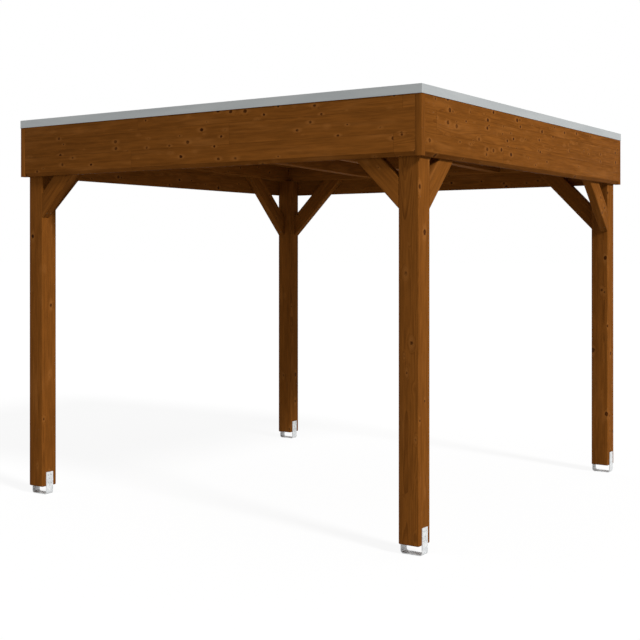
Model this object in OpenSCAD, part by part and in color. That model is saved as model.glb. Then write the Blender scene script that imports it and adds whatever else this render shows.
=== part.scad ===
// Flat-roofed garden gazebo in stained spruce on galvanised post shoes.
// X runs along the front, Y runs front to back and Z is up.
// The origin is on the ground under the middle of the roof. Sizes are in millimetres.

/* [Overall] */
// Width of the roof over the fascia boards
roof_width = 3080; // [2400:10:4200]
// Depth of the roof over the fascia boards
roof_depth = 3080; // [2400:10:4200]
// Height from the ground to the top of the metal edge
total_height = 2520; // [2000:10:3000]

/* [Fascia] */
// Thickness of the laminated fascia boards
fascia_thickness = 40; // [28:1:60]
// Height of the fascia boards
fascia_height = 378; // [300:1:480]
// Height of the bevelled drip edge along the bottom of the fascia
drip_height = 23; // [10:1:30]
// How far the drip edge leans back at its bottom
drip_depth = 24; // [10:1:27]

/* [Metal edge] */
// Sheet thickness of the folded metal edge
edge_thickness = 3; // [2:0.5:4]
// Height of the outer leg of the metal edge
edge_height = 51; // [35:1:80]
// Height of the inner leg of the metal edge
edge_inner_leg = 25; // [15:1:35]

/* [Posts] */
// Side of the square posts
post_size = 125; // [100:5:160]
// Width of the eased corners on posts and braces
easing = 4; // [2:0.5:8]

/* [Roof frame] */
// Width of the ring beams and rafters
beam_width = 80; // [60:5:120]
// Height of the ring beams and rafters
beam_height = 120; // [100:5:160]
// Distance from the top of the fascia down to the roof sheet at the front
sheet_drop = 37; // [30:1:60]
// How much lower the roof frame is at the back than at the front
roof_fall = 80; // [40:5:120]
// Number of rafters between the side beams
rafter_count = 3; // [2:1:5]
// Distance from one rafter to the next
rafter_pitch = 569; // [400:1:700]
// Thickness of the roof boards
deck_thickness = 19; // [16:1:28]
// Thickness of the rubber roof sheet
sheet_thickness = 3; // [1.5:0.5:5]

/* [Braces] */
// Depth of the braces across the grain
brace_depth = 120; // [80:5:140]
// Thickness of the braces
brace_thickness = 60; // [40:5:80]
// Leg of a brace along the roof frame and down the post
brace_leg = 475; // [400:5:600]

/* [Post shoes] */
// Width of the galvanised strap
shoe_width = 60; // [40:5:80]
// Thickness of the galvanised strap
shoe_thickness = 5; // [4:0.5:8]
// Clear gap between the strap's base and the post's end
shoe_gap = 50; // [30:5:100]
// Height of the strap's legs on the post
shoe_leg = 95; // [90:5:160]
// Inner bend radius of the strap
shoe_bend = 12; // [5:1:15]
// Diameter of the screw holes in the strap's legs
screw_hole = 6.5; // [5:0.5:8]
// Vertical distance between the rows of screw holes
screw_row = 27; // [25:1:40]
// Distance from the strap's middle to the outer screw holes
screw_offset = 13; // [10:1:20]
// Diameter of the ground anchor hole in the strap's base
anchor_hole = 13; // [9:1:18]

/* [Hidden] */
$fn = 48;
big = 10 * max(roof_width, roof_depth, total_height);
stain = "saddlebrown";
stain_light = "sienna";

// The posts and the roof frame fill the room inside the fascia
inner_x = roof_width / 2 - fascia_thickness;
inner_y = roof_depth / 2 - fascia_thickness;
post_x = inner_x - post_size / 2;
post_y = inner_y - post_size / 2;
post_bottom = shoe_thickness + shoe_gap;

// Levels of the fascia and of the sloping roof frame
fascia_top = total_height - edge_thickness;
fascia_bottom = fascia_top - fascia_height;
frame_front = fascia_top - sheet_drop - sheet_thickness - deck_thickness - beam_height;
function frame_under(y) = frame_front - roof_fall * (inner_y + y) / (2 * inner_y);

// A slab between two levels that both follow the fall of the roof, over a rectangle in plan
module sloping_slab(x0, x1, y0, y1, lift, thickness) {
    translate([x0, 0, 0])
        rotate([90, 0, 90])
            linear_extrude(x1 - x0)
                polygon([
                    [y0, frame_under(y0) + lift],
                    [y1, frame_under(y1) + lift],
                    [y1, frame_under(y1) + lift + thickness],
                    [y0, frame_under(y0) + lift + thickness]
                ]);
}

// All the room below the roof frame
module below_frame() {
    translate([-big / 2, 0, 0])
        rotate([90, 0, 90])
            linear_extrude(big)
                polygon([
                    [-inner_y, -big],
                    [inner_y, -big],
                    [inner_y, frame_under(inner_y)],
                    [-inner_y, frame_under(-inner_y)]
                ]);
}

// A rectangle with its four corners cut off at 45 degrees, centred on the origin
module eased_rectangle(a, b, cut) {
    u = a / 2;
    v = b / 2;
    polygon([
        [-u + cut, -v], [u - cut, -v], [u, -v + cut], [u, v - cut],
        [u - cut, v], [-u + cut, v], [-u, v - cut], [-u, -v + cut]
    ]);
}

// One post at the corner given by the signs sx and sy, its top cut to the fall of the roof
module post(sx, sy) {
    color(stain)
        intersection() {
            translate([sx * post_x, sy * post_y, post_bottom])
                linear_extrude(big)
                    eased_rectangle(post_size, post_size, easing);
            below_frame();
        }
}

// A length of brace timber lying along +X from the origin, turned up 45 degrees, lower edge at z = x
module brace_timber() {
    reach = 2 * brace_leg;
    rotate([0, -45, 0])
        translate([-reach, 0, brace_depth / 2])
            rotate([90, 0, 90])
                linear_extrude(3 * reach)
                    eased_rectangle(brace_thickness, brace_depth, easing);
}

// A brace that runs across the gazebo, flush with the outer face of its post
module brace_across(sx, sy) {
    y = sy * (inner_y - brace_thickness / 2);
    face = inner_x - post_size;
    foot = frame_under(y) - brace_leg;
    color(stain)
        intersection() {
            translate([sx * face, y, foot])
                scale([-sx, 1, 1])
                    brace_timber();
            translate([-face, -big / 2, -big / 2])
                cube([2 * face, big, big]);
            below_frame();
        }
}

// A brace that runs front to back, flush with the outer face of its post
module brace_along(sx, sy) {
    x = sx * (inner_x - brace_thickness / 2);
    face = inner_y - post_size;
    foot = frame_under(sy * face) - brace_leg;
    color(stain)
        intersection() {
            translate([x, sy * face, foot])
                rotate([0, 0, -90 * sy])
                    brace_timber();
            translate([-big / 2, -face, -big / 2])
                cube([big, 2 * face, big]);
            below_frame();
        }
}

// The ring beam across the front or the back
module beam_across(sy) {
    y = sy * (inner_y - beam_width / 2);
    color(stain_light)
        sloping_slab(-inner_x, inner_x, y - beam_width / 2, y + beam_width / 2, 0, beam_height);
}

// The ring beam down one side, between the front and back beams
module beam_along(sx) {
    x = sx * (inner_x - beam_width / 2);
    run = inner_y - beam_width;
    color(stain_light)
        sloping_slab(x - beam_width / 2, x + beam_width / 2, -run, run, 0, beam_height);
}

// The rafters, spaced evenly about the middle
module rafters() {
    run = inner_y - beam_width;
    color(stain_light)
        for (i = [0:rafter_count - 1]) {
            x = (i - (rafter_count - 1) / 2) * rafter_pitch;
            sloping_slab(x - beam_width / 2, x + beam_width / 2, -run, run, 0, beam_height);
        }
}

// The roof boards as one panel
module roof_deck() {
    color(stain_light)
        sloping_slab(-inner_x, inner_x, -inner_y, inner_y, beam_height, deck_thickness);
}

// The roof sheet: a shallow tray whose sides stand up against the fascia
module roof_sheet() {
    lift = beam_height + deck_thickness;
    x = inner_x - sheet_thickness;
    y = inner_y - sheet_thickness;
    color("dimgray")
        intersection() {
            difference() {
                sloping_slab(-inner_x, inner_x, -inner_y, inner_y, lift, big);
                sloping_slab(-x, x, -y, y, lift + sheet_thickness, 2 * big);
            }
            translate([-big / 2, -big / 2, -big / 2])
                cube([big, big, fascia_top + big / 2]);
        }
}

// Cross-section of a fascia board: outer face along the Y axis, drip edge at the bottom
module fascia_section() {
    polygon([
        [0, drip_height],
        [drip_depth, 0],
        [fascia_thickness, 0],
        [fascia_thickness, fascia_height],
        [0, fascia_height]
    ]);
}

// A section drawn with its outer face at x = 0 and its inside at +x, run along one side.
// It stands on the side of the roof that faces the given quarter turn, 0 being the front.
module run_along_side(quarter, half_length, half_span, level) {
    rotate([0, 0, 90 * quarter])
        translate([-half_length, -half_span, level])
            rotate([90, 0, 90])
                linear_extrude(2 * half_length)
                    children();
}

// A fascia board between two corner pieces, on the side given by the quarter turn
module fascia(quarter, half_length, half_span) {
    color(stain)
        run_along_side(quarter, half_length, half_span, fascia_bottom)
            fascia_section();
}

// The upright square piece that the fascia boards meet at a corner of the roof
module fascia_corner(sx, sy) {
    x = roof_width / 2 - fascia_thickness / 2;
    y = roof_depth / 2 - fascia_thickness / 2;
    color(stain)
        translate([sx * x, sy * y, fascia_bottom + fascia_height / 2])
            cube([fascia_thickness, fascia_thickness, fascia_height], center = true);
}

// Cross-section of the metal edge: it caps the fascia and laps over the sheet's upstand
module edge_section() {
    inner = fascia_thickness + sheet_thickness;
    difference() {
        translate([-edge_thickness, -edge_height])
            square([inner + 2 * edge_thickness, edge_height]);
        translate([0, -edge_height - 1])
            square([inner, edge_height + 1 - edge_thickness]);
        translate([inner - 1, -edge_height - 1])
            square([edge_thickness + 2, edge_height + 1 - edge_inner_leg]);
    }
}

// One length of metal edge, mitred at both corners
module metal_edge(quarter, half_length, half_span) {
    l = half_length + edge_thickness;
    s = half_span + edge_thickness;
    reach = fascia_thickness + sheet_thickness + 3 * edge_thickness;
    color("silver")
        intersection() {
            run_along_side(quarter, l, half_span, total_height)
                edge_section();
            rotate([0, 0, 90 * quarter])
                linear_extrude(big)
                    polygon([[-l, -s], [l, -s], [l - reach, -s + reach], [-l + reach, -s + reach]]);
        }
}

// Outline of the bent strap, seen along Y, with rounded bends
module strap_outline() {
    outer = post_size / 2 + shoe_thickness;
    top = post_bottom + shoe_leg;
    difference() {
        bent_panel(outer, top, shoe_bend + shoe_thickness);
        translate([0, shoe_thickness])
            bent_panel(post_size / 2, top, shoe_bend);
    }
}

// A panel with square upper corners and rounded lower ones
module bent_panel(half, height, radius) {
    translate([-half, radius])
        square([2 * half, height - radius]);
    translate([-half + radius, 0])
        square([2 * (half - radius), height]);
    for (s = [-1, 1])
        translate([s * (half - radius), radius])
            circle(radius);
}

// Places of the screw holes in one leg: two at the top, one in the middle, two at the bottom
function screw_places() = [
    for (r = [-1:1]) for (c = [-1:1]) if (abs(r) == abs(c)) [c * screw_offset, r * screw_row]
];

// One post shoe: a galvanised strap bent round the foot of the post
module shoe(sx, sy) {
    leg_middle = post_bottom + shoe_leg / 2;
    color("gainsboro")
        translate([sx * post_x, sy * post_y, 0])
            difference() {
                translate([0, shoe_width / 2, 0])
                    rotate([90, 0, 0])
                        linear_extrude(shoe_width)
                            strap_outline();
                translate([0, 0, -1])
                    cylinder(d = anchor_hole, h = shoe_thickness + 2);
                for (p = screw_places())
                    translate([-post_size, p[0], leg_middle + p[1]])
                        rotate([0, 90, 0])
                            cylinder(d = screw_hole, h = 2 * post_size);
            }
}

post(-1, -1);  // post_front_left
post(1, -1);  // post_front_right
post(-1, 1);  // post_back_left
post(1, 1);  // post_back_right
shoe(-1, -1);  // shoe_front_left
shoe(1, -1);  // shoe_front_right
shoe(-1, 1);  // shoe_back_left
shoe(1, 1);  // shoe_back_right
brace_across(-1, -1);  // brace_front_left_across
brace_across(1, -1);  // brace_front_right_across
brace_across(-1, 1);  // brace_back_left_across
brace_across(1, 1);  // brace_back_right_across
brace_along(-1, -1);  // brace_front_left_along
brace_along(1, -1);  // brace_front_right_along
brace_along(-1, 1);  // brace_back_left_along
brace_along(1, 1);  // brace_back_right_along
beam_across(-1);  // beam_front
beam_across(1);  // beam_back
beam_along(-1);  // beam_left
beam_along(1);  // beam_right
rafters();
roof_deck();
roof_sheet();
fascia(0, inner_x, roof_depth / 2);  // fascia_front
fascia(2, inner_x, roof_depth / 2);  // fascia_back
fascia(3, inner_y, roof_width / 2);  // fascia_left
fascia(1, inner_y, roof_width / 2);  // fascia_right
fascia_corner(-1, -1);  // fascia_corner_front_left
fascia_corner(1, -1);  // fascia_corner_front_right
fascia_corner(-1, 1);  // fascia_corner_back_left
fascia_corner(1, 1);  // fascia_corner_back_right
metal_edge(0, roof_width / 2, roof_depth / 2);  // edge_front
metal_edge(2, roof_width / 2, roof_depth / 2);  // edge_back
metal_edge(3, roof_depth / 2, roof_width / 2);  // edge_left
metal_edge(1, roof_depth / 2, roof_width / 2);  // edge_right
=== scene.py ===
"""Looks of a flat-roofed garden gazebo in stained spruce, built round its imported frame.

X runs along the front, Y runs front to back, Z is up. Everything is in metres.
"""

import math

import bmesh
import bpy
from mathutils import Matrix, Vector, noise


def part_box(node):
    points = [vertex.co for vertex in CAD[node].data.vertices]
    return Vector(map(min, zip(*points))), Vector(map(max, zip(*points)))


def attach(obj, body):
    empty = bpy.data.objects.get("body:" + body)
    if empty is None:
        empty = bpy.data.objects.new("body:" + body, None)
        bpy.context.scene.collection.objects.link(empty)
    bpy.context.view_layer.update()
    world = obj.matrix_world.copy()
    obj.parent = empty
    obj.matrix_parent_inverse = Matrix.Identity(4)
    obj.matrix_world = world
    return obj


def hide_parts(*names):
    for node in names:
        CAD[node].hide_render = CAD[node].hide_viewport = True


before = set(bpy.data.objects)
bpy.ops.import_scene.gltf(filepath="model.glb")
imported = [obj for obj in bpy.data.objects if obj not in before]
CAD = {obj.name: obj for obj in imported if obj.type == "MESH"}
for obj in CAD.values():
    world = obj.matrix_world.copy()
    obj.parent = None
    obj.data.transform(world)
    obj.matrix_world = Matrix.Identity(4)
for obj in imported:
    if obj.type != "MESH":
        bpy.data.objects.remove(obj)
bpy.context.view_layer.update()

MM = 0.001
BODY = "root"

CORNERS = [
    ("front_left", -1, -1),
    ("front_right", 1, -1),
    ("back_left", -1, 1),
    ("back_right", 1, 1),
]
SIDES = ["front", "right", "back", "left"]

# Rounding of arrises, and the angles from which a mesh counts as flat or sharp
WELD = 0.02 * MM
FLAT_WITHIN = math.radians(0.5)
BEVEL_FROM = math.radians(28)
SHARP_FROM = math.radians(35)

# Knots: how far apart along and across the grain, the largest radius, and how many places have one
POST_WOOD = {"knot_spacing": 0.078, "knot_radius": 0.0138, "knot_share": 0.5}
BRACE_WOOD = {"knot_spacing": 0.07, "knot_radius": 0.0112, "knot_share": 0.42}
FRAME_WOOD = {"knot_spacing": 0.09, "knot_radius": 0.0095, "knot_share": 0.4}
CORNER_WOOD = {"knot_radius": 0.006, "knot_share": 0.3}
FASCIA_WOOD = {
    "knot_spacing": 0.066, "knot_radius": 0.0112, "knot_share": 0.68, "knot_depth": 4.0,
    "pith_spread": 0.3, "lamella_length": 1.9,
}
BOARD_WOOD = {
    "knot_spacing": 0.08, "knot_radius": 0.0095, "knot_share": 0.45, "knot_depth": 4.0,
    "pith_spread": 0.3,
}
FASCIA_LAMELLAS = 3

# The log that each kind of timber is cut from: its first seed, and the step to the next piece's
POST_LOGS = (11.3, 7.1)
BRACE_LOGS = (41.7, 5.3)
ALONG_BRACE_LOG = 2.9
FRAME_LOGS = (71.9, 3.7)
FASCIA_LOGS = (104.6, 6.3)
CORNER_LOGS = (151.7, 3.1)
BOARD_LOG = 131.0
BOARD_LOG_SPREAD = 97.0

# Light: strengths of the room, the key and the floor, and where the key stands
ROOM_STRENGTH = 0.37
KEY_STRENGTH = 2.42
KEY_WIDTH = math.radians(10)
KEY_FROM = Vector((1.0, -0.283, 0.68))
FLOOR_SIZE = 400.0
FLOOR_BOUNCE = 0.5
FLOOR_IN_LIGHT = 0.15
FLOOR_GLOW = 0.89

# View: place, how far the heading turns from the Y axis, lens, and how far the frame is lowered
CAMERA_PLACE = (4.48894, -6.90322, 1.6098)
CAMERA_HEADING = math.radians(33.83)
CAMERA_LENS = 65.016
CAMERA_SHIFT = -0.10095


# ---------------------------------------------------------------- node helpers


def grey(value):
    return (value, value, value, 1.0)


def srgb(red, green, blue):
    """A colour given as 0-255 display values, as the linear RGBA that sockets take."""

    def linear(value):
        share = value / 255
        if share <= 0.04045:
            return share / 12.92
        return ((share + 0.055) / 1.055) ** 2.4

    return (linear(red), linear(green), linear(blue), 1.0)


class Graph:
    """Short ways to add nodes to one tree and to join them."""

    def __init__(self, tree):
        self.tree = tree

    def put(self, socket, value):
        if isinstance(value, bpy.types.NodeSocket):
            self.tree.links.new(value, socket)
        else:
            socket.default_value = value

    def add(self, kind, inputs=None, **settings):
        node = self.tree.nodes.new(kind)
        for key, value in settings.items():
            setattr(node, key, value)
        for key, value in (inputs or {}).items():
            self.put(node.inputs[key], value)
        return node

    def math(self, operation, a, b=0.0, clamp=False):
        node = self.add("ShaderNodeMath", {0: a, 1: b}, operation=operation)
        node.use_clamp = clamp
        return node.outputs[0]

    def vector(self, operation, a, b=(0.0, 0.0, 0.0)):
        node = self.add("ShaderNodeVectorMath", {0: a, 1: b}, operation=operation)
        return node.outputs["Value" if operation in ("LENGTH", "DOT_PRODUCT") else "Vector"]

    def scale(self, vector, factor):
        inputs = {0: vector, "Scale": factor}
        return self.add("ShaderNodeVectorMath", inputs, operation="SCALE").outputs["Vector"]

    def combine(self, x, y, z):
        return self.add("ShaderNodeCombineXYZ", {0: x, 1: y, 2: z}).outputs[0]

    def split(self, vector):
        return self.add("ShaderNodeSeparateXYZ", {0: vector}).outputs

    def remap(self, value, start, end, low, high, how):
        inputs = {"Value": value, "From Min": start, "From Max": end}
        inputs.update({"To Min": low, "To Max": high})
        return self.add("ShaderNodeMapRange", inputs, interpolation_type=how).outputs[0]

    def ease(self, value, start, end, low=0.0, high=1.0):
        """Smoothly from low at start to high at end."""
        return self.remap(value, start, end, low, high, "SMOOTHSTEP")

    def span(self, value, start, end, low=0.0, high=1.0):
        """Straight from low at start to high at end, and no further."""
        return self.remap(value, start, end, low, high, "LINEAR")

    def near_one(self, value, start, end, by):
        """Straight from a little under 1 at start to as much over 1 at end."""
        return self.span(value, start, end, 1.0 - by, 1.0 + by)

    def mix(self, factor, a, b):
        """Colour a at factor 0 and colour b at factor 1."""
        node = self.add("ShaderNodeMix", {0: factor, 6: a, 7: b}, data_type="RGBA")
        return node.outputs[2]

    def noise(self, vector, scale=1.0, detail=2.0, roughness=0.5):
        inputs = {"Vector": vector, "Scale": scale, "Detail": detail, "Roughness": roughness}
        return self.add("ShaderNodeTexNoise", inputs).outputs

    def drawn_out(self, vector, along, across, detail, roughness=0.5):
        """Noise stretched along X: so many waves to a metre along it and across it."""
        stretched = self.vector("MULTIPLY", vector, (along, across, across))
        return self.noise(stretched, 1.0, detail, roughness)["Fac"]

    def random(self, vector):
        return self.add("ShaderNodeTexWhiteNoise", {"Vector": vector}).outputs


SOCKETS = {
    "value": "NodeSocketFloat",
    "count": "NodeSocketInt",
    "vector": "NodeSocketVector",
    "colour": "NodeSocketColor",
    "shape": "NodeSocketGeometry",
    "material": "NodeSocketMaterial",
}


def new_group(name, tree_kind, inputs, outputs):
    """An empty node group with its named sockets: (graph, input sockets, output node)."""
    tree = bpy.data.node_groups.new(name, tree_kind)
    for label, kind, *preset in inputs:
        socket = tree.interface.new_socket(name=label, in_out="INPUT", socket_type=SOCKETS[kind])
        if preset:
            socket.default_value = preset[0]
    for label, kind in outputs:
        tree.interface.new_socket(name=label, in_out="OUTPUT", socket_type=SOCKETS[kind])
    graph = Graph(tree)
    return graph, graph.add("NodeGroupInput").outputs, graph.add("NodeGroupOutput")


def use_group(graph, group, values):
    """A group placed in a material with its own values: its output sockets."""
    node = graph.add("ShaderNodeGroup", node_tree=group)
    for key, value in values.items():
        graph.put(node.inputs[key], value)
    return node.outputs


def new_material(name, **shader_settings):
    """A material with one Principled shader: (material, graph, shader)."""
    material = bpy.data.materials.new(name)
    material.use_nodes = True
    material.node_tree.nodes.clear()
    graph = Graph(material.node_tree)
    shader = graph.add("ShaderNodeBsdfPrincipled")
    for key, value in shader_settings.items():
        shader.inputs[key.replace("_", " ")].default_value = value
    output = graph.add("ShaderNodeOutputMaterial")
    graph.put(output.inputs["Surface"], shader.outputs[0])
    return material, graph, shader


def bump(graph, shader, height, depth, strength):
    """Raises a shader's surface by a height pattern of a given depth."""
    inputs = {"Height": height, "Distance": depth, "Strength": strength}
    graph.put(shader.inputs["Normal"], graph.add("ShaderNodeBump", inputs).outputs[0])


def along_turn(direction):
    """The turn that takes the X axis to a direction, with Z kept upright where it can be."""
    along = Vector(direction).normalized()
    side = Vector((0, 1, 0)) if abs(along.y) < 0.9 else Vector((-1, 0, 0))
    side = (side - along * side.dot(along)).normalized()
    return Matrix((along, side, along.cross(side))).transposed().to_euler()


def laid_along(graph, direction, centre):
    """Object coordinates with X along a piece's length and the origin at its centre."""
    where = graph.add("ShaderNodeTexCoord").outputs["Object"]
    inputs = {"Vector": where, "Location": centre, "Rotation": along_turn(direction)}
    return graph.add("ShaderNodeMapping", inputs, vector_type="TEXTURE").outputs[0]


# --------------------------------------------------------------- shader groups


def make_spruce_group():
    """Sawn spruce under a brown stain: year rings about a pith, knots, lamellas, glue lines."""
    g, given, out = new_group(
        "stained_spruce",
        "ShaderNodeTree",
        [
            ("Vector", "vector"),
            ("Seed", "value", 0.0),
            ("Ring Width", "value", 0.0034),
            ("Pith Spread", "value", 0.16),
            ("Lamella Height", "value", 20.0),
            ("Lamella Length", "value", 60.0),
            ("Knot Spacing", "value", 0.15),
            ("Knot Radius", "value", 0.011),
            ("Knot Share", "value", 0.6),
            ("Knot Depth", "value", 1.0),
            ("Stain", "colour", srgb(134, 80, 29)),
            ("Late Wood", "colour", srgb(92, 50, 14)),
            ("Knot Core", "colour", srgb(44, 17, 4)),
            ("Knot Halo", "colour", srgb(158, 100, 46)),
        ],
        [("Color", "colour"), ("Roughness", "value"), ("Height", "value")],
    )
    x, y, z = g.split(given["Vector"])
    log_run = 37.0  # length of log that lamellas are cut from
    row_draw, ring_draw = 3.7, 1.3  # keep one random draw apart from another

    # Which lamella a point is in, and which length of it between two butt joints
    tall, long = given["Lamella Height"], given["Lamella Length"]
    row_at = g.math("ADD", g.math("DIVIDE", z, tall), 0.5)
    row = g.math("FLOOR", row_at)
    shift = g.random(g.combine(row, given["Seed"], row_draw))["Value"]
    length_at = g.math("ADD", g.math("DIVIDE", x, long), g.math("ADD", shift, 0.5))
    piece = g.math("FLOOR", length_at)
    chance = g.random(g.combine(row, piece, given["Seed"]))
    from_row = g.math("MULTIPLY", g.math("PINGPONG", row_at, 0.5), tall)
    from_joint = g.math("MULTIPLY", g.math("PINGPONG", length_at, 0.5), long)
    glue = g.ease(g.math("MINIMUM", from_row, from_joint), 0.0002, 0.0016, 1.0, 0.0)

    # The lamella's own place in its log
    across = g.math("SUBTRACT", z, g.math("MULTIPLY", row, tall))
    turn_x, turn_y, turn_z = g.split(chance["Color"])
    spread = given["Pith Spread"]
    in_log = g.combine(
        g.math("ADD", x, g.math("MULTIPLY", turn_x, log_run)),
        g.math("ADD", y, g.math("MULTIPLY", g.math("SUBTRACT", turn_y, 0.5), spread)),
        g.math("ADD", across, g.math("MULTIPLY", g.math("SUBTRACT", turn_z, 0.5), spread)),
    )

    # Knots: points scattered further apart along the log than across it, and as deep as asked
    spacing, depth = given["Knot Spacing"], given["Knot Depth"]
    spacing_along, spacing_across = 1.5, 0.72
    knot_squash, grain_squash = 0.85, 0.42
    wide = g.math("MULTIPLY", spacing, spacing_across)
    deep = g.math("MULTIPLY", wide, depth)
    apart = g.combine(g.math("MULTIPLY", spacing, spacing_along), deep, wide)
    in_cells = g.vector("DIVIDE", in_log, apart)
    cells = g.add("ShaderNodeTexVoronoi", {"Vector": in_cells, "Scale": 1.0}).outputs
    away = g.vector("MULTIPLY", g.vector("SUBTRACT", in_cells, cells["Position"]), apart)
    ragged = g.noise(in_log, 90.0, 2.0)["Fac"]
    shallow = g.math("DIVIDE", 1.0, depth)
    rough_edge = g.math("MULTIPLY", g.math("SUBTRACT", ragged, 0.5), 9.0 * MM)
    round_knot = g.vector("MULTIPLY", away, g.combine(knot_squash, shallow, 1.0))
    round_knot = g.math("ADD", g.vector("LENGTH", round_knot), rough_edge)
    long_grain = g.vector("MULTIPLY", away, g.combine(grain_squash, shallow, 1.0))
    long_grain = g.vector("LENGTH", long_grain)
    knot_size, knot_there, knot_tone = g.split(cells["Color"])
    there = g.math("LESS_THAN", knot_there, given["Knot Share"])
    size = g.span(g.math("POWER", knot_size, 1.5), 0.0, 1.0, 0.45, 1.0)
    radius = g.math("MULTIPLY", g.math("MULTIPLY", given["Knot Radius"], size), there)
    least = g.math("MAXIMUM", radius, 0.02 * MM)
    reach = g.math("DIVIDE", round_knot, least)
    reach_along = g.math("DIVIDE", long_grain, least)
    dark = g.span(knot_tone, 0.0, 1.0, 0.4, 1.0)
    core = g.ease(reach, 0.75, 1.05, 1.0, 0.0)
    rim = g.math("MULTIPLY", g.ease(reach, 0.45, 0.85), g.ease(reach, 0.95, 1.35, 1.0, 0.0))
    halo = g.math("SUBTRACT", g.ease(reach_along, 0.9, 2.2, 1.0, 0.0), core, clamp=True)

    # Year rings, bent by slow wander along the log and pushed aside round each knot
    wander = g.noise(g.vector("MULTIPLY", in_log, (0.9, 6.0, 6.0)), 1.0, 2.0)["Color"]
    wander = g.vector("MULTIPLY", g.vector("SUBTRACT", wander, (0.5, 0.5, 0.5)), (0.0, 0.05, 0.05))
    from_pith = g.vector("MULTIPLY", g.vector("ADD", in_log, wander), (0.0, 1.0, 1.0))
    from_pith = g.vector("LENGTH", from_pith)
    push_reach, push_share = 2.8, 1.6
    push = g.ease(reach_along, 0.0, push_reach, 1.0, 0.0)
    push = g.math("MULTIPLY", push, g.math("MULTIPLY", radius, push_share))
    rings = g.math("DIVIDE", g.math("ADD", from_pith, push), given["Ring Width"])
    within = g.math("FRACT", rings)
    late = g.math("MULTIPLY", g.ease(within, 0.2, 0.9), g.ease(within, 0.93, 1.0, 1.0, 0.0))
    strong = g.random(g.combine(g.math("FLOOR", rings), turn_x, ring_draw))["Value"]
    late = g.math("MULTIPLY", late, g.span(strong, 0.0, 1.0, 0.35, 1.1))

    # Streaks and cloudy patches of stain, brush drag and the fine fibre, each so many to a metre
    streak = g.drawn_out(in_log, 2.4, 48.0, 4.0, 0.6)
    patch = g.drawn_out(in_log, 2.2, 13.0, 3.0)
    drag = g.drawn_out(in_log, 7.0, 75.0, 2.0)
    fibre = g.drawn_out(in_log, 30.0, 900.0, 2.0)

    # Colour: how much of each mark shows, and how far each one shifts the tone
    late_shows, streak_shows, patch_shows = 0.55, 0.4, 0.45
    halo_shows, rim_shows, glue_shows = 0.48, 0.85, 0.45
    piece_tone, fibre_tone, drag_tone = 0.03, 0.06, 0.14
    colour = g.mix(g.math("MULTIPLY", late, late_shows), given["Stain"], given["Late Wood"])
    colour = g.mix(g.ease(streak, 0.42, 0.78, 0.0, streak_shows), colour, given["Late Wood"])
    colour = g.mix(g.ease(patch, 0.5, 0.8, 0.0, patch_shows), colour, given["Knot Halo"])
    tone = g.near_one(chance["Value"], 0.0, 1.0, piece_tone)
    tone = g.math("MULTIPLY", tone, g.near_one(fibre, 0.2, 0.8, fibre_tone))
    tone = g.math("MULTIPLY", tone, g.near_one(drag, 0.3, 0.7, drag_tone))
    colour = g.scale(colour, tone)
    colour = g.mix(g.math("MULTIPLY", halo, halo_shows), colour, given["Knot Halo"])
    heart = g.mix(g.span(reach, 0.0, 0.8), srgb(78, 34, 10), given["Knot Core"])
    colour = g.mix(g.math("MULTIPLY", core, dark), colour, heart)
    rim = g.math("MULTIPLY", rim, g.math("MULTIPLY", dark, rim_shows))
    colour = g.mix(rim, colour, given["Knot Core"])
    colour = g.mix(g.math("MULTIPLY", glue, glue_shows), colour, given["Knot Core"])

    # Gloss and relief: knots are smoother and stand proud, glue lines lie low
    knot_gloss = 0.16
    late_height, fibre_height, knot_height, glue_depth = 0.45, 0.35, 0.5, 0.9
    rough = g.span(streak, 0.3, 0.7, 0.6, 0.74)
    rough = g.math("SUBTRACT", rough, g.math("MULTIPLY", core, knot_gloss))
    height = g.math("MULTIPLY", late, late_height)
    height = g.math("ADD", height, g.math("MULTIPLY", fibre, fibre_height))
    height = g.math("ADD", height, g.math("MULTIPLY", core, knot_height))
    height = g.math("SUBTRACT", height, g.math("MULTIPLY", glue, glue_depth))
    g.put(out.inputs["Color"], colour)
    g.put(out.inputs["Roughness"], rough)
    g.put(out.inputs["Height"], height)
    return g.tree


def make_edge_group():
    """Where a piece's arrises are: 1 on a sharp outer corner, 0 on a flat. The materials lighten
    these edges, partly as wear and partly as a painted highlight.
    """
    g, given, out = new_group(
        "worn_and_highlit_arris",
        "ShaderNodeTree",
        [("Width", "value", 2.0 * MM), ("Vector", "vector")],
        [("Mask", "value")],
    )
    rounded = g.add("ShaderNodeBevel", {"Radius": given["Width"]}, samples=6).outputs[0]
    true = g.add("ShaderNodeNewGeometry").outputs["True Normal"]
    lean = g.math("SUBTRACT", 1.0, g.vector("DOT_PRODUCT", rounded, true))
    patchy = g.ease(g.noise(given["Vector"], 35.0, 3.0)["Fac"], 0.35, 0.65, 0.35, 1.0)
    g.put(out.inputs["Mask"], g.math("MULTIPLY", g.ease(lean, 0.01, 0.2), patchy))
    return g.tree


def make_dust_group():
    """A thin layer of dust on faces that look up, thicker in cloudy patches."""
    g, given, out = new_group(
        "settled_dust",
        "ShaderNodeTree",
        [
            ("Vector", "vector"),
            ("Clean", "colour"),
            ("Dust", "colour", srgb(150, 144, 132)),
            ("Cover", "value", 0.3),
        ],
        [("Color", "colour"), ("Mask", "value")],
    )
    up = g.split(g.add("ShaderNodeNewGeometry").outputs["Normal"])[2]
    cloud = g.noise(given["Vector"], 5.0, 5.0, 0.62)["Fac"]
    mask = g.math("MULTIPLY", g.ease(up, 0.35, 0.95), g.ease(cloud, 0.32, 0.72))
    mask = g.math("MULTIPLY", mask, given["Cover"])
    g.put(out.inputs["Color"], g.mix(mask, given["Clean"], given["Dust"]))
    g.put(out.inputs["Mask"], mask)
    return g.tree


SPRUCE = make_spruce_group()
ARRIS_WEAR_AND_HIGHLIGHT = make_edge_group()
DUST = make_dust_group()


# ------------------------------------------------------------------- materials


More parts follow.
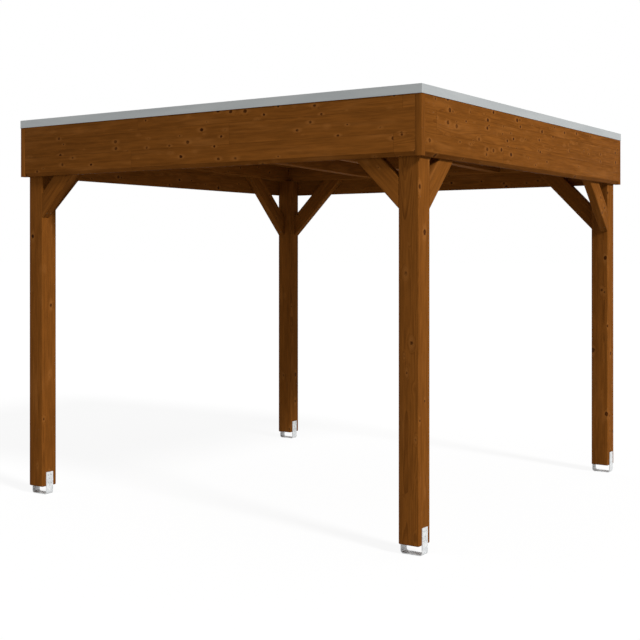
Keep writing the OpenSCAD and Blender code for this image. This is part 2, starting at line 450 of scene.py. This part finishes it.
def stained_wood(name, direction, centre, seed, board_attribute=None, **look):
    """Stained spruce with its grain along a direction, cut from its own part of a log."""
    material, g, shader = new_material(name, Specular_IOR_Level=0.012, IOR=1.45)
    where = laid_along(g, direction, centre)
    if board_attribute:
        own = g.add("ShaderNodeAttribute", attribute_name=board_attribute).outputs["Fac"]
        seed = g.math("ADD", g.math("MULTIPLY", own, BOARD_LOG_SPREAD), seed)
    values = {"Vector": where, "Seed": seed}
    values.update({key.replace("_", " ").title(): value for key, value in look.items()})
    wood = use_group(g, SPRUCE, values)
    wear_and_highlight = use_group(g, ARRIS_WEAR_AND_HIGHLIGHT, {"Vector": where, "Width": 2.5 * MM})["Mask"]
    # Arrises lightened: partly wear, partly a painted highlight
    colour = g.mix(g.math("MULTIPLY", wear_and_highlight, 0.15), wood["Color"], srgb(152, 96, 42))
    g.put(shader.inputs["Base Color"], colour)
    g.put(shader.inputs["Roughness"], wood["Roughness"])
    bump(g, shader, wood["Height"], 0.4 * MM, 0.7)
    return material


def galvanised_steel():
    """Hot-dip zinc on bent plate: spangle, soft mottling, and edges made brighter, partly as wear
    and partly as a painted highlight.
    """
    material, g, shader = new_material("galvanised_plate", Metallic=0.35)
    where = g.add("ShaderNodeTexCoord").outputs["Object"]
    warp = g.vector("MULTIPLY", g.noise(where, 60.0)["Color"], (12.0 * MM,) * 3)
    bent = g.vector("ADD", where, warp)
    cells = g.add("ShaderNodeTexVoronoi", {"Vector": bent, "Scale": 95.0}).outputs
    spangle = g.split(cells["Color"])[0]
    mottle = g.noise(where, 28.0, 4.0)["Fac"]
    colour = g.mix(spangle, srgb(204, 207, 209), srgb(232, 234, 234))
    colour = g.mix(g.ease(mottle, 0.4, 0.75, 0.0, 0.5), colour, srgb(240, 240, 238))
    wear_and_highlight = use_group(g, ARRIS_WEAR_AND_HIGHLIGHT, {"Vector": where, "Width": 1.2 * MM})["Mask"]
    # Arrises brightened: partly wear, partly a painted highlight
    colour = g.mix(g.math("MULTIPLY", wear_and_highlight, 0.5), colour, srgb(244, 244, 242))
    colour = use_group(
        g, DUST, {"Vector": where, "Clean": colour, "Dust": srgb(186, 180, 168), "Cover": 0.35}
    )["Color"]
    g.put(shader.inputs["Base Color"], colour)
    rough = g.math("ADD", g.span(spangle, 0.0, 1.0, 0.36, 0.5), g.math("MULTIPLY", mottle, 0.12))
    g.put(shader.inputs["Roughness"], rough)
    bump(g, shader, g.math("ADD", spangle, mottle), 0.12 * MM, 0.6)
    return material


def rolled_aluminium(name, direction, centre):
    """Mill-finish sheet with the fine lines of rolling along its length."""
    material, g, shader = new_material(name, Metallic=0.1)
    where = laid_along(g, direction, centre)
    lines = g.drawn_out(where, 1.2, 900.0, 3.0)
    cloud = g.drawn_out(where, 2.2, 18.0, 3.0)
    colour = g.mix(lines, srgb(165, 169, 170), srgb(180, 184, 184))
    colour = g.mix(g.ease(cloud, 0.4, 0.7, 0.0, 0.5), colour, srgb(188, 191, 190))
    wear_and_highlight = use_group(g, ARRIS_WEAR_AND_HIGHLIGHT, {"Vector": where, "Width": 1.0 * MM})["Mask"]
    # Arrises brightened: partly wear, partly a painted highlight
    colour = g.mix(g.math("MULTIPLY", wear_and_highlight, 0.6), colour, srgb(226, 227, 224))
    colour = use_group(
        g, DUST, {"Vector": where, "Clean": colour, "Dust": srgb(168, 165, 156), "Cover": 0.4}
    )["Color"]
    g.put(shader.inputs["Base Color"], colour)
    rough = g.math("ADD", g.span(lines, 0.0, 1.0, 0.38, 0.5), g.math("MULTIPLY", cloud, 0.1))
    g.put(shader.inputs["Roughness"], rough)
    bump(g, shader, lines, 0.05 * MM, 0.5)
    return material


def rubber_membrane():
    """Dark rubber roof sheet: fine calendered texture, chalky bloom and settled dust."""
    material, g, shader = new_material("rubber_membrane", Specular_IOR_Level=0.3)
    where = g.add("ShaderNodeTexCoord").outputs["Object"]
    cloud = g.noise(where, 2.6, 5.0, 0.6)["Fac"]
    grain = g.noise(where, 900.0, 2.0)["Fac"]
    bloom = g.noise(g.vector("MULTIPLY", where, (1.5, 9.0, 1.5)), 1.0, 4.0)["Fac"]
    colour = g.mix(g.ease(cloud, 0.35, 0.7), srgb(48, 49, 51), srgb(64, 65, 66))
    colour = g.mix(g.ease(bloom, 0.5, 0.75, 0.0, 0.35), colour, srgb(92, 92, 90))
    dusty = use_group(
        g, DUST, {"Vector": where, "Clean": colour, "Dust": srgb(120, 115, 105), "Cover": 0.4}
    )
    g.put(shader.inputs["Base Color"], dusty["Color"])
    rough = g.math("ADD", g.span(cloud, 0.3, 0.7, 0.5, 0.64), dusty["Mask"])
    g.put(shader.inputs["Roughness"], rough)
    bump(g, shader, grain, 0.2 * MM, 0.5)
    return material


# ----------------------------------------------------------------- mesh pieces


def middle(node):
    """The middle of a frame node's box."""
    low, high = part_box(node)
    return (low + high) / 2


def place(obj, slot, *stands_for):
    """Makes a finished piece part of the object, in the place of the frame nodes it stands for."""
    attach(obj, BODY)
    if stands_for:
        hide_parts(*stands_for)


def new_piece(name, mesh, material):
    """An object at the origin with one mesh and one material."""
    obj = bpy.data.objects.new(name, mesh)
    bpy.context.scene.collection.objects.link(obj)
    mesh.materials.clear()
    mesh.materials.append(material)
    return obj


def applied(obj):
    """Turns an object's modifiers into plain mesh."""
    evaluated = obj.evaluated_get(bpy.context.evaluated_depsgraph_get())
    mesh = bpy.data.meshes.new_from_object(evaluated)
    obj.modifiers.clear()
    old, obj.data = obj.data, mesh
    bpy.data.meshes.remove(old)
    return obj


def soften(obj, width):
    """Rounds a piece's arrises and shades them smooth against flat faces."""
    bevel = obj.modifiers.new("arris", "BEVEL")
    bevel.width = width
    bevel.segments = 2
    bevel.limit_method = "ANGLE"
    bevel.angle_limit = BEVEL_FROM
    bevel.harden_normals = True
    obj.data.shade_smooth()
    return applied(obj)


def merged_shape(node):
    """A copy of a frame node's mesh with its triangles joined up into whole flat faces."""
    shape = bmesh.new()
    shape.from_mesh(CAD[node].data)
    bmesh.ops.remove_doubles(shape, verts=shape.verts, dist=WELD)
    bmesh.ops.dissolve_limit(
        shape, angle_limit=FLAT_WITHIN, verts=shape.verts, edges=shape.edges
    )
    return shape


def mesh_from(shape, name):
    """The plain mesh of a finished shape, which is freed."""
    mesh = bpy.data.meshes.new(name)
    shape.to_mesh(mesh)
    shape.free()
    return mesh


def cut_foot(shape, width):
    """Chamfers the lower end of an upright timber."""
    low = min(v.co.z for v in shape.verts)
    edges = [e for e in shape.edges if all(v.co.z < low + 0.1 * MM for v in e.verts)]
    bmesh.ops.bevel(shape, geom=edges, offset=width, segments=1, affect="EDGES")


def timber(node, name, slot, material, arris=1.2 * MM, foot=0.0):
    """A frame node's piece with softened arrises, and a chamfered foot where one is given."""
    shape = merged_shape(node)
    if foot:
        cut_foot(shape, foot)
    piece = new_piece(name, mesh_from(shape, name), material)
    place(soften(piece, arris), slot, node)


def cut_from(logs, number):
    """The seed of one timber: its log's first seed, and a step for each timber before it."""
    first, step = logs
    return first + step * number


def make_posts():
    """Four posts, grain upright, with a chamfered foot."""
    for number, (corner, _, _) in enumerate(CORNERS):
        node = f"post_{corner}"
        seed = cut_from(POST_LOGS, number)
        wood = stained_wood(f"stained_{node}", (0, 0, 1), middle(node), seed, **POST_WOOD)
        timber(node, f"{node}_timber", "stained_post", wood, foot=4.5 * MM)


def make_braces():
    """Two knee braces at each post, grain along their slope."""
    for number, (corner, sx, sy) in enumerate(CORNERS):
        for way, direction in (("across", (-sx, 0, 1)), ("along", (0, -sy, 1))):
            node = f"brace_{corner}_{way}"
            seed = cut_from(BRACE_LOGS, number) + (ALONG_BRACE_LOG if way == "along" else 0.0)
            wood = stained_wood(f"stained_{node}", direction, middle(node), seed, **BRACE_WOOD)
            timber(node, f"{node}_timber", "stained_brace", wood)


def make_roof_frame():
    """The ring beams and the rafters, grain along their length."""
    runs = {"beam_front": (1, 0, 0), "beam_back": (1, 0, 0)}
    runs.update({"beam_left": (0, 1, 0), "beam_right": (0, 1, 0), "rafters": (0, 1, 0)})
    for number, (node, direction) in enumerate(runs.items()):
        seed = cut_from(FRAME_LOGS, number)
        wood = stained_wood(f"stained_{node}", direction, middle(node), seed, **FRAME_WOOD)
        timber(node, f"{node}_timber", "stained_frame", wood, arris=2.0 * MM)


def make_fascias():
    """Laminated boards on four sides, between upright corner pieces."""
    low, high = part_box("fascia_front")
    lamella = (high.z - low.z) / FASCIA_LAMELLAS
    for number, side in enumerate(SIDES):
        node = f"fascia_{side}"
        direction = (1, 0, 0) if side in ("front", "back") else (0, 1, 0)
        wood = stained_wood(
            f"stained_{node}", direction, middle(node), cut_from(FASCIA_LOGS, number),
            lamella_height=lamella, **FASCIA_WOOD,
        )
        timber(node, f"{node}_board", "stained_fascia", wood, arris=1.6 * MM)
    for number, (corner, _, _) in enumerate(CORNERS):
        node = f"fascia_corner_{corner}"
        seed = cut_from(CORNER_LOGS, number)
        wood = stained_wood(f"stained_{node}", (0, 0, 1), middle(node), seed, **CORNER_WOOD)
        timber(node, f"{node}_upright", "stained_fascia", wood, arris=2.0 * MM)


# Outline of the folded edge sheet, in millimetres: depth inwards from its outermost line, and
# height from its top
EDGE_OUTLINE = [
    (0.0, -51.0), (1.0, -51.0), (2.9, -46.0), (2.95, -3.4), (4.2, -1.7), (44.4, -2.6),
    (46.3, -4.4), (46.4, -25.0), (48.2, -25.0), (49.0, -23.6), (49.0, -3.6), (48.2, -1.9),
    (46.6, -1.2), (4.6, 0.0), (2.6, -0.5), (1.5, -1.7), (1.3, -3.2), (1.3, -45.6), (0.0, -50.2),
]


def make_roof_edges():
    """Four lengths of folded edge sheet with a kicked-out drip lip, mitred at the corners."""
    low, high = Vector(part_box("edge_left")[0]), Vector(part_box("edge_right")[1])
    half_x, half_y, top = high.x, -low.y, high.z
    gap = 0.2 * MM
    for quarter, side in enumerate(SIDES):
        turn = Matrix.Rotation(math.radians(90 * quarter), 4, "Z")
        span, reach = (half_x, half_y) if quarter % 2 == 0 else (half_y, half_x)
        shape = bmesh.new()
        rings = []
        for end in (-1, 1):
            ring = []
            for depth, drop in EDGE_OUTLINE:
                x = end * (span - depth * MM - gap)
                spot = turn @ Vector((x, -reach + depth * MM, top + drop * MM))
                ring.append(shape.verts.new(spot))
            rings.append(ring)
        first, last = rings
        for i in range(len(first)):
            j = (i + 1) % len(first)
            shape.faces.new((first[i], first[j], last[j], last[i]))
        shape.faces.new(first[::-1])
        shape.faces.new(last)
        bmesh.ops.recalc_face_normals(shape, faces=shape.faces)
        mesh = mesh_from(shape, f"edge_{side}_sheet")
        mesh.shade_smooth()
        mesh.set_sharp_from_angle(angle=SHARP_FROM)
        node = f"edge_{side}"
        direction = turn @ Vector((1, 0, 0))
        sheet = rolled_aluminium(f"rolled_{node}", direction, middle(node))
        place(new_piece(f"{node}_sheet", mesh, sheet), "aluminium_edge", node)


def make_shoes(plate):
    """A bent strap shoe under each post."""
    for corner, _, _ in CORNERS:
        node = f"shoe_{corner}"
        timber(node, f"{node}_plate", "galvanised_steel", plate, arris=0.6 * MM)


def spaced(start, end, step):
    """Evenly spaced values from start to end, both included."""
    count = max(1, round((end - start) / step))
    return [start + (end - start) * i / count for i in range(count + 1)]


def make_roof_sheet():
    """The rubber sheet: laid over the boards, coved up the fascia and lapped at two seams."""
    low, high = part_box("roof_sheet")
    front_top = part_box("roof_deck")[1].z
    thickness, cove, lap, lap_width = 3.0 * MM, 14.0 * MM, 1.3 * MM, 60.0 * MM
    feather, step, turned_down = 40.0 * MM, 0.4 * MM, 1.0 * MM
    inner = high.x - thickness
    seams = (-0.52, 0.52)

    def base(y):
        return front_top + (low.z - front_top) * (y - low.y) / (high.y - low.y)

    curve = [inner - cove * (1 - math.cos(math.radians(a))) for a in (0, 20, 40, 60, 90)]
    rim = sorted({round(v, 6) for v in curve} | {round(-v, 6) for v in curve})
    floor = spaced(-inner + cove, inner - cove, 0.05)
    ys = sorted(set(rim) | {round(v, 6) for v in floor})
    steps = [s + d for s in seams for d in (-step, step, lap_width, lap_width + feather)]
    xs = sorted(set(ys) | {round(v, 6) for v in steps})

    def height(x, y):
        near = [max(0.0, cove - (inner - abs(v))) for v in (x, y)]
        lean = min(cove, math.hypot(*near))
        rise = cove - math.sqrt(max(0.0, cove**2 - lean**2))
        for seam in seams:
            if seam < x <= seam + lap_width + feather:
                fade = max(0.0, (x - seam - lap_width) / feather)
                rise += lap * (1 - fade)
        ripple = noise.noise(Vector((x * 2.3, y * 2.3, 4.2))) * 1.4 * MM
        crease = noise.noise(Vector((x * 9.0, y * 3.0, 1.7))) * 0.5 * MM
        return base(y) + thickness + rise + max(-1.2 * MM, ripple + crease)

    shape = bmesh.new()
    grid = [[shape.verts.new((x, y, height(x, y))) for x in xs] for y in ys]
    for lower, upper in zip(grid, grid[1:]):
        for i in range(len(xs) - 1):
            shape.faces.new((lower[i], lower[i + 1], upper[i + 1], upper[i]))
    around = [
        *grid[0], *[row[-1] for row in grid[1:]],
        *grid[-1][-2::-1], *[row[0] for row in grid[-2:0:-1]],
    ]

    def widen(v, z):
        out = high.x / inner
        return shape.verts.new((v.co.x * out, v.co.y * out, z))

    lip = [shape.verts.new((v.co.x, v.co.y, high.z - turned_down)) for v in around]
    outer = [widen(v, high.z - turned_down) for v in around]
    under = [widen(v, base(v.co.y * high.x / inner)) for v in around]
    count = len(around)
    for a, b in ((around, lip), (lip, outer), (outer, under)):
        for i in range(count):
            j = (i + 1) % count
            shape.faces.new((a[i], a[j], b[j], b[i]))
    shape.faces.new(under[::-1])
    bmesh.ops.recalc_face_normals(shape, faces=shape.faces)
    mesh = mesh_from(shape, "roof_sheet_laid")
    mesh.shade_smooth()
    mesh.set_sharp_from_angle(angle=math.radians(40))
    place(new_piece("roof_sheet_laid", mesh, rubber_membrane()), "rubber_sheet", "roof_sheet")


# ------------------------------------------------------- geometry node pieces


def run_tree(name, tree, mesh, values):
    """Runs a geometry tree on a mesh with named values and keeps the result as plain mesh."""
    obj = bpy.data.objects.new(name, mesh)
    bpy.context.scene.collection.objects.link(obj)
    modifier = obj.modifiers.new("laid_out", "NODES")
    modifier.node_group = tree
    for item in tree.interface.items_tree:
        if item.item_type == "SOCKET" and item.in_out == "INPUT" and item.name in values:
            modifier[item.identifier] = values[item.name]
    return applied(obj)


def board_tree():
    """Rows of roof boards with V-jointed undersides, stepping down with the fall of the roof."""
    g, given, out = new_group(
        "lay_roof_boards",
        "GeometryNodeTree",
        [
            ("Geometry", "shape"),
            ("Board Count", "count", 31),
            ("Board Length", "value", 3.0),
            ("Board Width", "value", 0.0965),
            ("Board Thickness", "value", 0.019),
            ("Joint Chamfer", "value", 0.003),
            ("First Board", "vector", (0.0, 0.0, 0.0)),
            ("Step", "vector", (0.0, 0.097, 0.0)),
            ("Roof Pitch", "value", 0.0),
            ("Seed", "count", 5),
            ("Finish", "material"),
        ],
        [("Geometry", "shape")],
    )
    chamfer = given["Joint Chamfer"]
    body_depth = g.math("SUBTRACT", given["Board Thickness"], chamfer)
    size = g.combine(given["Board Length"], given["Board Width"], body_depth)
    board = g.add("GeometryNodeMeshCube", {"Size": size}).outputs["Mesh"]
    facing = g.split(g.add("GeometryNodeInputNormal").outputs[0])[2]
    down = g.add(
        "GeometryNodeExtrudeMesh",
        {
            "Mesh": board,
            "Selection": g.math("LESS_THAN", facing, -0.5),
            "Offset": g.combine(0.0, 0.0, g.math("MULTIPLY", chamfer, -1.0)),
        },
    ).outputs
    narrow = g.math("DIVIDE", g.math("MULTIPLY", chamfer, 2.0), given["Board Width"])
    face = g.add(
        "GeometryNodeScaleElements",
        {
            "Geometry": down["Mesh"],
            "Selection": down["Top"],
            "Scale": g.math("SUBTRACT", 1.0, narrow),
            "Axis": (0.0, 1.0, 0.0),
        },
        scale_mode="SINGLE_AXIS",
    ).outputs["Geometry"]
    rows = g.add(
        "GeometryNodeMeshLine",
        {
            "Count": given["Board Count"],
            "Start Location": given["First Board"],
            "Offset": given["Step"],
        },
    ).outputs["Mesh"]
    laid = g.add(
        "GeometryNodeInstanceOnPoints",
        {
            "Points": rows,
            "Instance": face,
            "Rotation": g.combine(given["Roof Pitch"], 0.0, 0.0),
        },
    ).outputs["Instances"]
    chance = g.add("FunctionNodeRandomValue", data_type="FLOAT")
    g.put(chance.inputs["Seed"], given["Seed"])
    marked = g.add(
        "GeometryNodeStoreNamedAttribute",
        {"Geometry": laid, "Name": "board_seed", "Value": chance.outputs[1]},
        data_type="FLOAT",
        domain="INSTANCE",
    ).outputs[0]
    real = g.add("GeometryNodeRealizeInstances", {"Geometry": marked}).outputs[0]
    done = g.add("GeometryNodeSetMaterial", {"Geometry": real, "Material": given["Finish"]})
    g.put(out.inputs["Geometry"], done.outputs[0])
    return g.tree


def make_roof_boards():
    """Boards across the rafters, front to back, in the thickness of the roof deck."""
    low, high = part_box("roof_deck")
    back_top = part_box("roof_sheet")[0].z
    depth, fall = high.y - low.y, high.z - back_top
    thickness = back_top - low.z
    count = 31
    pitch = -math.atan2(fall, depth)
    step = Vector((0.0, depth / count, -fall / count))
    chamfer, joint_gap, end_gap = 3.0 * MM, 0.4 * MM, 0.5 * MM
    width = depth / count / math.cos(pitch) - joint_gap
    first = Vector((0.0, low.y, high.z)) + step / 2
    first.z -= (thickness - chamfer) / 2
    wood = stained_wood(
        "stained_roof_boards", (1, 0, 0), (0, 0, 0), BOARD_LOG,
        board_attribute="board_seed", **BOARD_WOOD,
    )
    boards = run_tree(
        "roof_boards",
        board_tree(),
        bpy.data.meshes.new("roof_boards"),
        {
            "Board Count": count,
            "Board Length": high.x - low.x - 2 * end_gap,
            "Board Width": width,
            "Board Thickness": thickness,
            "Joint Chamfer": chamfer,
            "First Board": first,
            "Step": step,
            "Roof Pitch": pitch,
            "Seed": 5,
            "Finish": wood,
        },
    )
    place(boards, "stained_deck", "roof_deck")


def screw_tree():
    """Countersunk timber screws: a low dished head with a round drive recess at each point."""
    g, given, out = new_group(
        "drive_screws",
        "GeometryNodeTree",
        [
            ("Geometry", "shape"),
            ("Head Radius", "value", 0.006),
            ("Head Height", "value", 0.0009),
            ("Recess Radius", "value", 0.0026),
            ("Recess Depth", "value", 0.0022),
            ("Finish", "material"),
        ],
        [("Geometry", "shape")],
    )
    head = g.add(
        "GeometryNodeMeshCylinder",
        {
            "Vertices": 18,
            "Radius": given["Head Radius"],
            "Depth": g.math("MULTIPLY", given["Head Height"], 4.0),
        },
    ).outputs
    # Each step pulls the top face up or down and narrows it: dished rim, flat, drive recess
    rim_share, floor_share = 0.86, 0.92
    rim = g.math("MULTIPLY", given["Head Radius"], rim_share)
    steps = [
        (given["Head Height"], rim_share),
        (0.0, g.math("DIVIDE", given["Recess Radius"], rim)),
        (g.math("MULTIPLY", given["Recess Depth"], -1.0), floor_share),
    ]
    shape, top = head["Mesh"], head["Top"]
    for lift, share in steps:
        pulled = g.add(
            "GeometryNodeExtrudeMesh",
            {"Mesh": shape, "Selection": top, "Offset": g.combine(0.0, 0.0, lift)},
        ).outputs
        top = pulled["Top"]
        shape = g.add(
            "GeometryNodeScaleElements",
            {"Geometry": pulled["Mesh"], "Selection": top, "Scale": share},
        ).outputs["Geometry"]
    facing = g.add(
        "GeometryNodeInputNamedAttribute", {"Name": "facing"}, data_type="FLOAT_VECTOR"
    ).outputs["Attribute"]
    turned = g.add("FunctionNodeAlignRotationToVector", {"Vector": facing}, axis="Z").outputs[0]
    driven = g.add(
        "GeometryNodeInstanceOnPoints",
        {"Points": given["Geometry"], "Instance": shape, "Rotation": turned},
    ).outputs[0]
    real = g.add("GeometryNodeRealizeInstances", {"Geometry": driven}).outputs[0]
    done = g.add("GeometryNodeSetMaterial", {"Geometry": real, "Material": given["Finish"]})
    g.put(out.inputs["Geometry"], done.outputs[0])
    return g.tree


def waxed_screw_steel():
    """Yellowish waxed plating of timber screws."""
    material, g, shader = new_material("waxed_screw_steel", Metallic=0.8)
    where = g.add("ShaderNodeTexCoord").outputs["Object"]
    cloud = g.noise(where, 400.0, 3.0)["Fac"]
    g.put(shader.inputs["Base Color"], g.mix(cloud, srgb(96, 70, 36), srgb(128, 98, 56)))
    g.put(shader.inputs["Roughness"], g.span(cloud, 0.3, 0.7, 0.4, 0.6))
    return material


def make_brace_screws(finish):
    """Two screws at each end of every brace, driven square to its underside."""
    spots, facings = [], []
    inset, end_inset, pair = 42.0 * MM, 48.0 * MM, 16.0 * MM
    for corner, sx, sy in CORNERS:
        for way in ("across", "along"):
            low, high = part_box(f"brace_{corner}_{way}")
            sign = sx if way == "across" else sy
            run = Vector((-sign, 0, 0)) if way == "across" else Vector((0, -sign, 0))
            side = Vector((0, 1, 0)) if way == "across" else Vector((1, 0, 0))
            foot = (low + high) / 2
            outer = high if sign > 0 else low
            if way == "across":
                foot.x = outer.x
            else:
                foot.y = outer.y
            foot.z = low.z
            rise = (run + Vector((0, 0, 1))).normalized()
            facing = (run - Vector((0, 0, 1))).normalized()
            length = (high.z - low.z) * math.sqrt(2)
            for along in (inset, length - end_inset):
                for aside in (-pair, pair):
                    spots.append(foot + rise * along + side * aside)
                    facings.append(facing)
    mesh = bpy.data.meshes.new("brace_screws")
    mesh.from_pydata(spots, [], [])
    attribute = mesh.attributes.new("facing", "FLOAT_VECTOR", "POINT")
    attribute.data.foreach_set("vector", [c for f in facings for c in f])
    values = {
        "Head Radius": 4.5 * MM, "Head Height": 0.5 * MM,
        "Recess Radius": 2.2 * MM, "Recess Depth": 1.6 * MM, "Finish": finish,
    }
    screws = run_tree("brace_screws", screw_tree(), mesh, values)
    screws.data.shade_smooth()
    screws.data.set_sharp_from_angle(angle=SHARP_FROM)
    place(screws, "galvanised_steel")


# ----------------------------------------------------------------------- stage


def shown_white(graph):
    """1 for what the camera, gloss or glass sees, and 0 for the light that falls on the object."""
    path = graph.add("ShaderNodeLightPath").outputs
    seen = graph.math("MAXIMUM", path["Is Camera Ray"], path["Is Glossy Ray"])
    return graph.math("MAXIMUM", seen, path["Is Transmission Ray"])


def make_floor():
    """A plain pale floor: near white to the eye, and grey to the light it throws back up."""
    bpy.ops.mesh.primitive_plane_add(size=FLOOR_SIZE)
    floor = bpy.context.object
    floor.name = "studio_floor"
    material = bpy.data.materials.new("pale_floor")
    material.use_nodes = True
    material.node_tree.nodes.clear()
    g = Graph(material.node_tree)
    seen = shown_white(g)
    bounce = g.add("ShaderNodeBsdfDiffuse", {"Color": grey(FLOOR_BOUNCE)}).outputs[0]
    shaded = g.add("ShaderNodeBsdfDiffuse", {"Color": grey(FLOOR_IN_LIGHT)}).outputs[0]
    white = g.add("ShaderNodeEmission", {"Color": grey(FLOOR_GLOW)}).outputs[0]
    pale = g.add("ShaderNodeAddShader", {0: shaded, 1: white}).outputs[0]
    surface = g.add("ShaderNodeMixShader", {0: seen, 1: bounce, 2: pale}).outputs[0]
    g.put(g.add("ShaderNodeOutputMaterial").inputs["Surface"], surface)
    floor.data.materials.append(material)


def make_light():
    """A white room all round and one broad soft key from the right."""
    world = bpy.data.worlds.new("white_room")
    bpy.context.scene.world = world
    world.use_nodes = True
    world.node_tree.nodes.clear()
    g = Graph(world.node_tree)
    seen = shown_white(g)
    soft = g.add("ShaderNodeBackground", {"Color": grey(1.0), "Strength": ROOM_STRENGTH})
    white = g.add("ShaderNodeBackground", {"Color": grey(1.0), "Strength": 1.0})
    inputs = {0: seen, 1: soft.outputs[0], 2: white.outputs[0]}
    room = g.add("ShaderNodeMixShader", inputs).outputs[0]
    g.put(g.add("ShaderNodeOutputWorld").inputs["Surface"], room)
    key = bpy.data.lights.new("key", "SUN")
    key.energy = KEY_STRENGTH
    key.angle = KEY_WIDTH
    lamp = bpy.data.objects.new("key", key)
    lamp.rotation_euler = KEY_FROM.to_track_quat("Z", "Y").to_euler()
    bpy.context.scene.collection.objects.link(lamp)


def make_camera():
    """Two-point view from the front right, with the horizon kept level and upright lines true."""
    camera = bpy.data.cameras.new("camera")
    camera.sensor_width = 36.0
    camera.lens = CAMERA_LENS
    camera.shift_y = CAMERA_SHIFT
    camera.clip_end = 1000.0
    holder = bpy.data.objects.new("camera", camera)
    holder.location = CAMERA_PLACE
    holder.rotation_euler = (math.radians(90), 0.0, CAMERA_HEADING)
    bpy.context.scene.collection.objects.link(holder)
    bpy.context.scene.camera = holder


make_camera()
make_light()
make_floor()
make_posts()
make_braces()
make_roof_frame()
make_fascias()
make_roof_edges()
make_roof_sheet()
make_roof_boards()
make_shoes(galvanised_steel())
make_brace_screws(waxed_screw_steel())

bpy.context.scene.view_settings.view_transform = "Standard"
